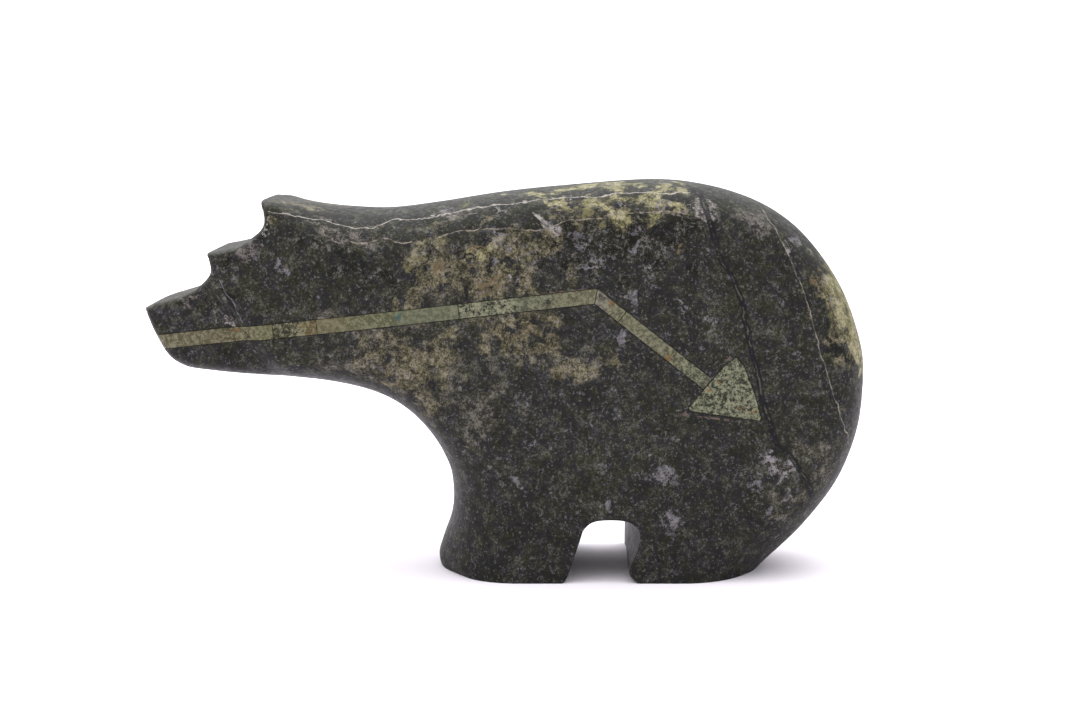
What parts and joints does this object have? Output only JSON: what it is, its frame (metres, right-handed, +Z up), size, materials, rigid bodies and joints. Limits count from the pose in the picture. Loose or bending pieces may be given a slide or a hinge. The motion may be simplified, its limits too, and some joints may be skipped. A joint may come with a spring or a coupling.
{
  "type": "serpentine bear carving",
  "caption": "Flat-sided polished stone bear in profile with stepped muzzle, brow and ear, round rump, two broad feet and an inlaid heartline arrow.",
  "frame": {"origin": "on the floor, under the middle of the carving's box", "axes": "+X from the nose to the rump, +Y from the inlaid side to the plain side, +Z up"},
  "size_m": [0.1869, 0.048, 0.1027],
  "materials": {
    "serpentine": "polished",
    "ochre_inlay": "polished",
    "olive_inlay": "polished",
    "green_inlay": "polished"
  },
  "bodies": {
    "root": {"bear_body": "serpentine", "inlay_muzzle_strip": "ochre_inlay", "inlay_cheek_strip": "ochre_inlay", "inlay_neck_strip": "olive_inlay", "inlay_shoulder_strip": "green_inlay", "inlay_bend_piece": "green_inlay", "inlay_flank_strip": "green_inlay", "inlay_arrowhead": "green_inlay"}
  },
  "joints": []
}
